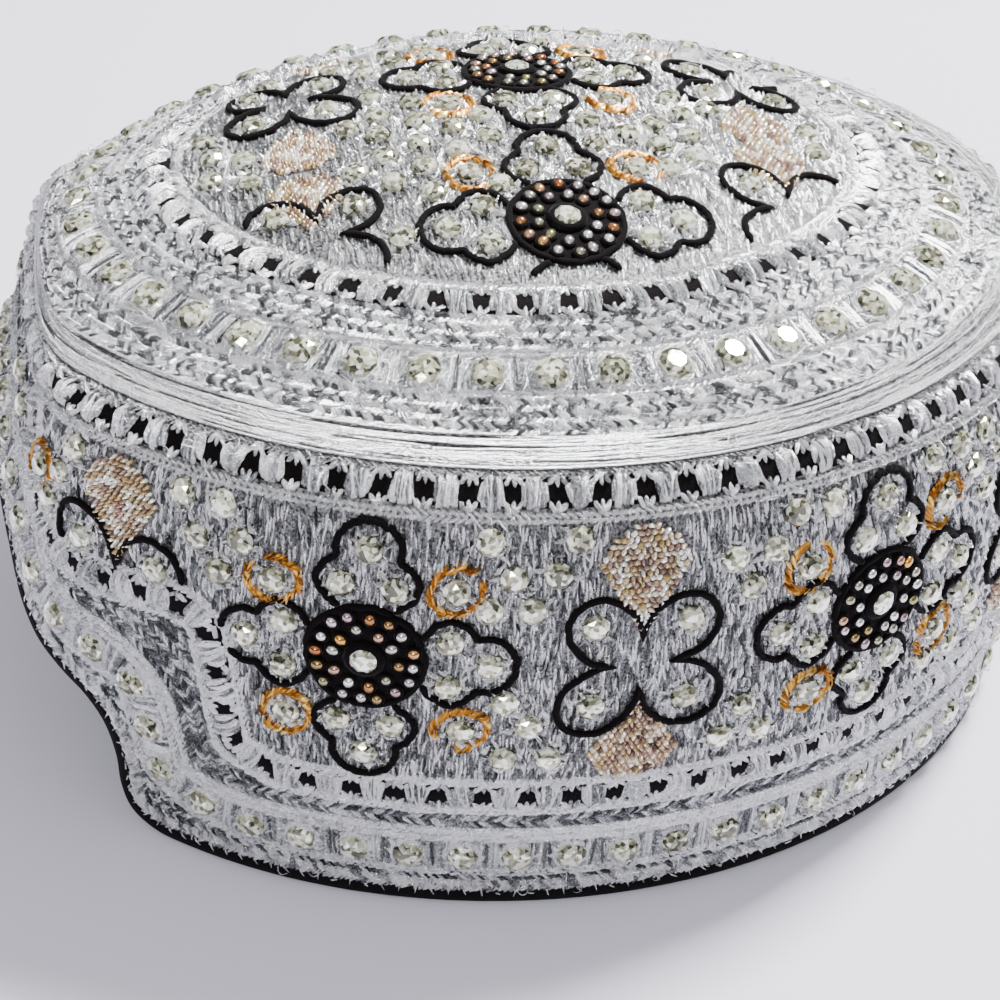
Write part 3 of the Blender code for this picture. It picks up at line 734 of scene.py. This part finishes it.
def ringed(surface, u, v, radius, rays):
    """Thread loops round stones: short stitches that reach over each stone's edge."""
    turn = (np.arange(rays) * math.tau / rays)[None] + uniform(0, 1, len(u))[:, None]
    reach = radius + uniform(0.1, 0.6, turn.shape)
    scale = pace(surface, u, v)[:, None]
    first = (u[:, None] + reach * np.cos(turn) / scale).ravel()
    second = (v[:, None] + reach * np.sin(turn)).ravel()
    lean = turn.ravel() + np.where(np.arange(turn.size) % 3 == 0, 1.4, 0.25)
    return sewn(surface, SHORT_STITCH, first, second, lean, ((1.8, 2.7), (0.4, 0.65), (0.8, 1.6)), 0.1,
                (0.45, 1.0), look=1)


def stones(surface, u, v, radius, tones, lift, look=0):
    """Cut stones lying on a surface, each facet with a tone of its own, partly its stone's and partly painted
    glints and dark reflections.
    """
    count = len(u)
    # Each facet's tone: its stone's tone mixed with a random one, painted glints and painted dark
    # reflections.
    own = uniform(*tones, (count, 1)) * 0.45 + random.random((count, FACETS.max() + 1)) * 0.55
    return sewn(surface, STONE, u, v, uniform(0, 0.8, count), (2 * radius, 2 * radius, radius * 0.62), lift,
                own[:, FACETS], look, smooth=False)


def crystal_row(name, surface, fine, places, replaced):
    """Crystals on bars of thread laid across a strip, a hoop of thread round each."""
    u, v, heading = fine
    parts = [tape(surface, fine, CRYSTAL_STRIP, 1, True),
             sewn(surface, LONG_STITCH, u, v, heading + QUARTER, ((6.6, CRYSTAL_STRIP), 0.78, (0.5, 0.8)),
                  0.2, (0.1, 0.9), 1, sway=0.04)]
    u, v = places[0][1::2], places[1][1::2]
    parts.append(sewn(surface, DISH, u, v, 0.0, (7.2, 7.2, 0.75), 0.2, (0.5, 0.9), 1))
    parts.append(stones(surface, u, v, CRYSTAL_RADIUS, (0.0, 0.5), 0.5))
    parts.append(ringed(surface, u, v, CRYSTAL_RADIUS + 0.1, 12))
    make_piece(name, parts, [CRYSTAL, SILVER], replaced)


make_crown()
make_band()
make_binding()

puff_row("crown_puffs", on_crown, crown_ring(PUFF_RING, CROWN_PUFF_PITCH), crown_ring(PUFF_RING, 1.8),
         ["crown_puff_braid"], True)
level = level_path(TOP_PUFFS)
puff_row("band_top_puffs", on_band, spaced(level, TOP_PUFF_PITCH), spaced(level, 2.4),
         ["band_top_puff_braid"], True, TOP_PUFF_WIDTH, 0.46)
puff_row("band_lower_puffs", on_band, spaced(LOWER, LOWER_PUFF_PITCH, False), spaced(LOWER, 1.2, False),
         ["band_lower_puff_braid"], False)

crystal_row("crown_crystals", on_crown, crown_ring(CRYSTAL_RING, BAR_PITCH),
            crown_ring(CRYSTAL_RING, CROWN_CRYSTAL_PITCH / 2), ["crown_crystal_ring"])
crystal_row("rim_crystals", on_band, spaced(CRYSTALS, BAR_PITCH), spaced(CRYSTALS, RIM_CRYSTAL_PITCH / 2),
            ["rim_crystal_row"])

# Braids on the crown: a thin one inside the puff ring, then rings to both sides of the crystals
braids = plait(on_crown, crown_ring(60.0, 1.0), 1.8, 0.6, 0.6, 1.9, (0.5, 1.0))
for half in (67.1, 69.3, 71.5, 82.4, 84.6, 86.8):
    braids += plait(on_crown, crown_ring(half, 0.86), 2.2, 0.7, 0.7, 1.75, (0.15, 1.0))
for half in (73.3, 80.8):
    braids += plait(on_crown, crown_ring(half, 1.1), 1.4, 0.8, 0.4, 1.9, (0.5, 1.0))
make_piece("crown_braids", braids, [SILVER])


def laid_threads():
    """Long threads laid round the edge of the crown, crossing each other a little."""
    parts = []
    for half in np.arange(*EDGE_THREADS):
        start = uniform(0, 0.7)
        while start < math.tau:
            reach = uniform(0.35, 0.9)
            turns = np.linspace(start, start + reach, 22)
            halves = half + uniform(-0.5, 0.5) + uniform(-0.7, 0.7) * np.linspace(-1, 1, 22)
            parts.append(cord(on_crown, turns, np.clip(halves, 87.6, LAST_THREAD), uniform(0.2, 0.3),
                              uniform(0.5, 1.0), sides=4, lift=uniform(0, 0.25)))
            start += reach * uniform(0.7, 0.95)
    return parts


make_piece("crown_edge_threads", laid_threads(), [SILVER])

# Lines on the band: under the top puffs, beside the lower puffs, beside the crystals, by the hem and
# over the top puffs
lines = []
for path, width, thick, slant, stretch, low in (
        [(spaced(level_path(FIELD_LINE), 1.25), 1.6, 0.8, 0.4, 1.9, 0.6)]
        + [(spaced(LOWER, 1.3, False, aside), 1.4, 0.9, 0.35, 2.0, 0.7) for aside in (-3.3, 3.3)]
        + [(spaced(CRYSTALS, 1.3, True, aside), 1.4, 0.85, 0.35, 2.0, 0.6) for aside in (-4.3, 4.2, 6.0)]
        + [(spaced(RIM, 1.0, True, 4.1), 2.2, 1.0, 0.6, 2.2, 0.35),
           (spaced(level_path(SEAM_LINE), 1.1), 1.0, 0.7, 0.5, 1.9, 0.4)]):
    lines += plait(on_band, path, width, thick, slant, stretch, (low, 1.0))
make_piece("band_lines", lines, [SILVER])


def border_satin():
    """Rows of slanted satin stitch between the crystals, the lower puffs and the hem."""
    parts = []
    for index, aside in enumerate(np.arange(7.7, 62.0, 1.55)):
        u, v, heading = path = spaced(CRYSTALS, 0.8, aside=aside)
        away = beside(u, v, CRYSTALS)
        puffs = beside(u, v, LOWER, False)
        keep = (away > aside - 0.5) & (v < 80.0) & ((puffs < -3.9) | (np.minimum(u, GIRTH - u) < ARCH_SIDE))
        if not keep.any():
            break
        u, v, heading = [part[keep] for part in path]
        parts.append(sewn(on_band, LONG_STITCH, u, v, heading + (0.65 if index % 2 else -0.65),
                          (2.3, 0.56, (0.35, 0.65)), 0.0, (0.05, 0.7), sway=0.06))
    for index, aside in enumerate((6.1, 7.5, 8.9, 10.3, 11.7)):
        u, v, heading = path = spaced(RIM, 0.8, aside=aside)
        away = beside(u, v, CRYSTALS)
        hem = beside(u, v, RIM)
        u, v, heading = [part[(away < -4.4) & (hem > aside - 0.5)] for part in path]
        parts.append(sewn(on_band, LONG_STITCH, u, v, heading + (0.7 if index % 2 else -0.7),
                          (2.2, 0.55, 0.6), 0.0, (0.05, 0.8)))
    return parts


make_piece("border_satin", border_satin(), [SILVER])

# Stitches that hold the binding, leaning over its upper edge
u, v, heading = spaced(RIM, 2.9, aside=2.7)
whips = sewn(on_band, LONG_STITCH, u, v, heading + QUARTER + 0.6, ((1.2, 2.2), 0.4, 0.35), 0.7, (0.5, 1.0),
             sway=0.5)
make_piece("whip_stitches", [whips], [SILVER])


def loose_ends():
    """Thin ends of thread that stand off the hem, the crown's edge and the crystals in small arcs."""
    parts = []
    share = np.linspace(0, 1, 7)
    for surface, path, height in ((on_band, spaced(RIM, 4.2, aside=4.5), 1.0),
                                  (on_crown, crown_ring(92.0, 6.5), 0.8),
                                  (on_band, spaced(CRYSTALS, 9.0), 1.0)):
        for u, v, _ in zip(*path):
            lean = uniform(0, math.tau)
            curl = lean + normal(0, 1.2) * share
            step = uniform(1.5, 4.0) / 7
            scale = pace(surface, np.array([u]), np.array([v]))[0]
            line_u = u + np.cumsum(np.cos(curl)) * step / scale
            line_v = np.maximum(v + np.cumsum(np.sin(curl)) * step, 1.0)
            if surface is on_crown:
                line_v = np.minimum(line_v, LAST_THREAD - 0.1)
            lift = 0.5 + np.sin(share * math.pi) * uniform(0.6, 1.6) * height
            parts.append(cord(surface, line_u, line_v, 0.09, uniform(0.6, 1.0), sides=3, lift=lift[:, None]))
    return parts


make_piece("loose_thread_ends", loose_ends(), [SILVER])


# The flowers: flat outlines about a centre, turned and set on the band or the crown

FIRST_BACK = FIRST_FLOWER + 2 * FLOWER_PITCH
BIG = [(x, FLOWER_HEIGHT) for x in (FIRST_FLOWER, FIRST_BACK, GIRTH / 2, GIRTH - FIRST_BACK,
                                    GIRTH - FIRST_FLOWER)]
SMALL = [(FIRST_FLOWER + step * FLOWER_PITCH, FLOWER_HEIGHT - 0.8) for step in (-1, 1, 3)]
SMALL += [(GIRTH - x, y) for x, y in SMALL]
CROWN_BIG = list(CROWN_FLOWERS.values())
PETAL = smooth_rows([(9.3, 4.4), (11.3, 7.2), (14.5, 8.5), (17.2, 7.0), (18.6, 5.3), (20.8, 5.4), (23.4, 4.0),
                     (24.8, 1.6), (25.0, 0.0)], 6)


def turned(flat, angle):
    """Flat places turned about the origin."""
    cosine, sine = math.cos(angle), math.sin(angle)
    return flat @ np.array([[cosine, sine], [-sine, cosine]])


def petals():
    """Outlines of a big flower: its disc's ring and four petals of three lobes."""
    turn = np.linspace(0, math.tau, 49)[:-1]
    ring = np.column_stack([np.cos(turn), np.sin(turn)]) * (CENTRE_RADIUS - 0.2)
    petal = np.vstack([PETAL, (PETAL * (1, -1))[-2::-1]])
    return [(ring, True)] + [(turned(petal * uniform(0.955, 0.982), quarter * QUARTER), False)
                             for quarter in range(4)]


def small_petals(tip):
    """Outline of a small flower: four round lobes on the diagonals, pinched between them."""
    turn = np.linspace(0, math.tau, 121)[:-1]
    reach = tip * (0.3 + 0.7 * np.abs(np.sin(2 * turn)) ** 0.75)
    reach *= 1 + 0.05 * np.sin(turn + uniform(0, 6)) + 0.04 * np.sin(3 * turn + uniform(0, 6))
    return [(np.column_stack([reach * np.cos(turn), reach * np.sin(turn)]), True)]


def runs(points, keep, closed):
    """Stretches of an outline that a mask keeps."""
    if keep.all():
        return [(points, closed)]
    if closed:
        start = int(np.argmin(keep))
        points, keep = np.roll(points, -start, axis=0), np.roll(keep, -start)
    edges = np.flatnonzero(np.diff(np.concatenate([[0], keep.astype(int), [0]])))
    return [(points[a:b], False) for a, b in zip(edges[::2], edges[1::2]) if b - a > 3]


def in_field(u, v, gap):
    """Whether places lie in the band's flower field, so far from its borders."""
    inside = (v < FIELD_TOP - gap) & (np.minimum(u, GIRTH - u) > FIELD_SIDE + gap)
    return inside & (beside(u, v, LOWER, False) > 2.9 + gap)


def on_plate(x, y, gap):
    """Whether places lie on the crown's flower field, so far from its ring."""
    return np.hypot(x / (CROWN_FIELD - gap - OVAL_DIFFERENCE), y / (CROWN_FIELD - gap)) < 1


outlines, band_marks, crown_marks = [], [], []
for surface, kept, marks, flowers in (
        (on_band, in_field, band_marks, [(spot, 0.0) for spot in BIG] + [(spot, 16.2) for spot in SMALL]),
        (on_dome, on_plate, crown_marks,
         [(spot, 0.0) for spot in CROWN_BIG] + [(spot, 13.6) for spot in CROWN_SMALL_FLOWERS])):
    for spot, tip in flowers:
        for points, closed in small_petals(tip) if tip else petals():
            points = points + spot
            for run, whole in runs(points, kept(*points.T, 0.3), closed):
                wavy = run + normal(0, 0.1, run.shape)
                outlines.append(cord(surface, *wavy.T, 0.64, closed=whole, lift=0.15))
                marks.append(run[::2])
make_piece("black_outlines", outlines, [BLACK])


def lozenge(half_width, widest, length, up):
    """Knots in a kite with a rounded end, its point at the origin and its length upward or downward."""
    row, column = np.meshgrid(np.arange(0.8, length, 0.98), np.arange(-9, 10), indexing="ij")
    share = row / length
    past = np.maximum(share - widest, 0) / (1 - widest)
    reach = half_width * np.minimum(share / widest, 1) ** 0.9 * np.sqrt(1 - past ** 2)
    across = column * 1.1 + 0.55 * (np.arange(len(row))[:, None] % 2)
    keep = np.abs(across) <= reach
    return np.column_stack([across[keep], row[keep] * up])


def knotted(surface, places, tones):
    """Knots at places, each leaning its own way."""
    return sewn(surface, KNOT, *places.T, 0.6, (1.35, 0.8, 0.95), 0.15, tones, rough=0.2, sway=0.5)


knots, band_knots = [], []
for x, _ in SMALL:
    for places, tones in ((lozenge(7.4, 0.62, 19.8, 1) + (x, FLOWER_HEIGHT + 4.6), (0.1, 1.0)),
                          (lozenge(7.4, 0.7, 16.8, -1) + (x, FLOWER_HEIGHT - 7.6), (0.0, 0.8))):
        places = places[in_field(*places.T, 0.2)]
        if len(places):
            knots.append(knotted(on_band, places, tones))
            band_knots.append(places)
band_knots = np.vstack(band_knots)
crown_knots = np.vstack([lozenge(6.6, 0.62, 15.5, side)[:, ::-1] + (x - side * 7.8, y)
                         for x, y, side in CROWN_LOZENGES]
                        + [lozenge(6.0, 0.62, 13.0, side)[:, ::-1] + (x - side * 3, y)
                           for x, y, side in EDGE_LOZENGES])
crown_knots = crown_knots[on_plate(*crown_knots.T, 0.4)]
knots.append(knotted(on_dome, crown_knots, (0.1, 1.0)))
make_piece("champagne_lozenges", knots, [CHAMPAGNE])


def gold_ring(surface, spot, lean):
    """Gold stitches wound round an open oval ring, three quarters or more of it."""
    opening = uniform(0.3, 1.1)
    turn = np.arange(opening, math.tau - 0.2, 0.13) + uniform(0, 6)
    flat = np.column_stack([4.6 * np.cos(turn), 3.9 * np.sin(turn)])
    flat = turned(flat + normal(0, 0.12, flat.shape), lean)
    heading = np.arctan2(3.9 * np.cos(turn), -4.6 * np.sin(turn)) + lean
    return [sewn(surface, LONG_STITCH, *(flat + spot).T, heading + 0.45, (2.2, 0.46, (0.7, 1.2)), 0.2,
                 sway=0.2),
            sewn(surface, LONG_STITCH, *(0.9 * flat + spot).T, heading - 0.2, (1.8, 0.4, 0.9), 0.15,
                 (0.0, 0.8))]


band_rings = np.array([(x + dx, y + dy) for x, y in BIG
                       for dx, dy in ((-15.3, 11.7), (14.1, 13.7), (-12.9, -14.0), (15.5, -13.4))]
                      + [(46.6, 69.8), (GIRTH - 46.6, 69.8)])
crown_rings = np.array([(x + dx, y + dy) for x, y in CROWN_BIG
                        for dx, dy in ((-13.2, -14.2), (-13.4, 14.4), (13.6, -14.6), (13.4, 14.6))])
crown_rings = crown_rings[on_plate(*crown_rings.T, 3.5)]
rings = []
for surface, spots in ((on_band, band_rings), (on_dome, crown_rings)):
    for spot in spots:
        rings += gold_ring(surface, spot, uniform(0.2, 1.2))
make_piece("gold_rings", rings, [GOLD])


def scattered(big, small, reach, rings, edge, low, high, pitch, fits, avoid, clear):
    """Stones in the flowers and rings, then more between them on an uneven triangular grid."""
    petal = np.array([(13.4, 4.3), (13.2, -4.4), (19.8, 0.0)])
    lobes = np.array([(x, y) for x in (-reach, reach) for y in (-reach, reach)])
    fixed = np.vstack([turned(petal, quarter * QUARTER) + spot for spot in big for quarter in range(4)]
                      + [lobes + spot for spot in small] + [rings])
    chosen = list(fixed[fits(*fixed.T, edge)])
    grid = np.array([(x, y) for index, y in enumerate(np.arange(low[1], high[1], pitch * 0.82))
                     for x in np.arange(low[0] + (index % 2) * pitch / 2, high[0], pitch)])
    grid += normal(0, 0.35, grid.shape)
    free = fits(*grid.T, 2.4) & (closest(*grid.T, *avoid.T)[0] >= clear)
    free &= closest(*grid.T, *np.array(big).T)[0] >= CENTRE_RADIUS + clear
    for spot in grid[free]:
        if np.hypot(*(np.array(chosen) - spot).T).min() > pitch * 0.78:
            chosen.append(spot)
    return np.array(chosen)


band_stones = scattered(BIG, SMALL, 7.8, band_rings, 1.5, (ARCH_SIDE, 30.0), (GIRTH - ARCH_SIDE, 80.0), 7.3,
                        in_field, np.vstack(band_marks + [band_knots]), 2.8)
crown_stones = scattered(CROWN_BIG, CROWN_SMALL_FLOWERS, 6.4, crown_rings, 2.4, (-46.0, -60.0), (46.0, 60.0),
                         7.2, on_plate, np.vstack(crown_marks + [crown_knots]), 2.9)
front_stones = np.array([(30.5, 73.5), (GIRTH - 30.5, 73.5), (22.0, 76.3), (GIRTH - 22.0, 76.3)])
parts = []
for surface, spots in ((on_band, np.vstack([band_stones, front_stones])), (on_dome, crown_stones)):
    parts.append(stones(surface, *spots.T, FIELD_CRYSTAL, (0.0, 0.8), 0.3))
    parts.append(ringed(surface, *spots.T, FIELD_CRYSTAL + 0.2, 10))
make_piece("field_crystals", parts, [CRYSTAL, SILVER])


def fill(name, surface, low, high, fits, avoid, discs, heading, palest):
    """Satin stitches over a field, in uneven rows, left out under the knots and discs."""
    u, v = np.meshgrid(np.arange(low[0], high[0], 0.62), np.arange(low[1], high[1], 2.15), indexing="ij")
    v = (v + uniform(-1.3, 1.3, v.shape)).ravel()
    u = (u + normal(0, 0.1, u.shape)).ravel()
    keep = fits(u, v, 0.5)
    u, v = u[keep], v[keep]
    clear = closest(u, v, *np.array(discs).T)[0] > CENTRE_RADIUS - 0.6
    clear &= closest(u, v, *avoid.T)[0] > 0.9
    u, v = u[clear], v[clear]
    count = len(u)
    stitches = sewn(surface, SHORT_STITCH, u, v, heading + normal(0, 0.12, count),
                    (uniform(1.9, 3.4, count), uniform(0.34, 0.6, count), uniform(0.3, 0.85, count)), 0.0,
                    uniform(palest, 1.0, count) ** 0.8)
    make_piece(name, [stitches], [SILVER])


fill("band_field_stitches", on_band, (38.0, 28.0), (GIRTH - 38.0, FIELD_LINE), in_field, band_knots, BIG,
     QUARTER, 0.0)
fill("crown_field_stitches", on_dome, (-46.0, -60.0), (46.0, 60.0), on_plate, crown_knots, CROWN_BIG,
     0.0, 0.2)


def flower_centre(surface, x, y, name):
    """Black disc of thread loops with two rounds of beads and a crystal in the middle."""
    rows, sides = 8, 40
    reach = (np.arange(rows) + 1)[:, None] / rows
    turn = np.arange(sides) * math.tau / sides
    disc = surface(x + CENTRE_RADIUS * reach * np.cos(turn), y + CENTRE_RADIUS * reach * np.sin(turn),
                   0.85 * np.sqrt(1 - (reach * 0.97) ** 4))
    points = np.vstack([disc.reshape(-1, 3), surface(np.array([x]), np.array([y]), 0.85)])
    ring = np.arange(sides)
    fan = np.column_stack([np.full(sides, rows * sides), ring, (ring + 1) % sides])
    parts, beads = [patch(points, [grid_faces(rows, sides, False, True), fan])], []
    for radius, count in ((7.9, 16), (5.3, 10)):
        turn = (np.arange(count) + uniform(0, 1) + normal(0, 0.08, count)) * math.tau / count
        radius = radius + normal(0, 0.2, count)
        first, second = x + radius * np.cos(turn), y + radius * np.sin(turn)
        parts.append(sewn(surface, LOOP, first, second, turn, (2.9, 2.7, 0.9), 0.55, 0.5))
        beads.append(sewn(surface, BEAD, first, second, turn, ((1.7, 2.4), 1.9, 1.4), 0.6))
    parts.append(sewn(surface, DISH, [x], [y], 0.0, (7.0, 7.0, 1.2), 0.6, 0.5))
    parts.append(stones(surface, np.array([x]), np.array([y]), 2.6, (0.7, 1.0), 0.7, 1))
    make_piece("centre_" + name, parts, [BLACK, CRYSTAL], ["flower_centre_" + name])
    return beads


beads = []
for name, spot in zip(("left_front", "left_back", "back", "right_back", "right_front"), BIG):
    beads += flower_centre(on_band, *spot, name)
for side, spot in CROWN_FLOWERS.items():
    beads += flower_centre(on_dome, *spot, "crown_" + side)
make_piece("flower_beads", beads, [BEADS])


# The stage: floor, lights and camera

def make_stage():
    """Pale plain floor, a soft key from behind on the right, a weak fill, a sky dark near the horizon."""
    material, shader = new_material("pale_floor", Roughness=0.9)
    shader.inputs["Base Color"].default_value = srgb("#d4d2df")
    mesh = bpy.data.meshes.new("floor")
    mesh.from_pydata([(FLOOR_REACH * x, FLOOR_REACH * y, 0) for x, y in ((-1, -1), (1, -1), (1, 1), (-1, 1))],
                     [], [(0, 1, 2, 3)])
    mesh.materials.append(material)
    floor = bpy.data.objects.new("floor", mesh)
    bpy.context.scene.collection.objects.link(floor)
    for name, (watts, width, place) in LAMPS.items():
        light = bpy.data.lights.new(name, "AREA")
        light.energy = watts
        light.size = width
        lamp = bpy.data.objects.new(name, light)
        lamp.location = place
        lamp.rotation_mode = "QUATERNION"
        lamp.rotation_quaternion = (Vector((0, 0, 0.05)) - Vector(place)).to_track_quat("-Z", "Y")
        bpy.context.scene.collection.objects.link(lamp)
    world = bpy.data.worlds.new("pale_sky")
    world.use_nodes = True
    place = add_node(world, "ShaderNodeTexCoord")
    parts = add_node(world, "ShaderNodeSeparateXYZ", {"Vector": place.outputs["Generated"]})
    ramp = add_node(world, "ShaderNodeValToRGB", {"Fac": parts.outputs["Z"]})
    stops = ramp.color_ramp.elements
    for position, code in SKY[1:-1]:
        stops.new(position).color = srgb(code)
    stops[0].color = srgb(SKY[0][1])
    stops[-1].color = srgb(SKY[-1][1])
    background = world.node_tree.nodes["Background"]
    link(world, ramp.outputs["Color"], background.inputs["Color"])
    background.inputs["Strength"].default_value = SKY_STRENGTH
    bpy.context.scene.world = world


def make_camera():
    """The photograph's camera: its place, pitch and roll, turned round the cap's upright axis."""
    turn = Matrix.Rotation(CAMERA_TURN, 3, "Z")
    sideways = Vector((1, 0, 0))
    forward = Vector((0, math.cos(CAMERA_PITCH), -math.sin(CAMERA_PITCH)))
    upward = Vector((0, math.sin(CAMERA_PITCH), math.cos(CAMERA_PITCH)))
    right = math.cos(CAMERA_ROLL) * sideways + math.sin(CAMERA_ROLL) * upward
    up = math.cos(CAMERA_ROLL) * upward - math.sin(CAMERA_ROLL) * sideways
    axes = Matrix([turn @ right, turn @ up, turn @ -forward]).transposed()
    place = turn @ Vector((0, -CAMERA_AWAY, CAMERA_HEIGHT)) + Vector((0, PLAN_SHIFT, 0))
    camera = bpy.data.objects.new("camera", bpy.data.cameras.new("camera"))
    camera.data.lens = LENS
    camera.data.clip_start = 0.01
    camera.data.clip_end = 20
    camera.matrix_world = Matrix.Translation(place * MM) @ axes.to_4x4()
    bpy.context.scene.collection.objects.link(camera)
    bpy.context.scene.camera = camera


make_stage()
make_camera()
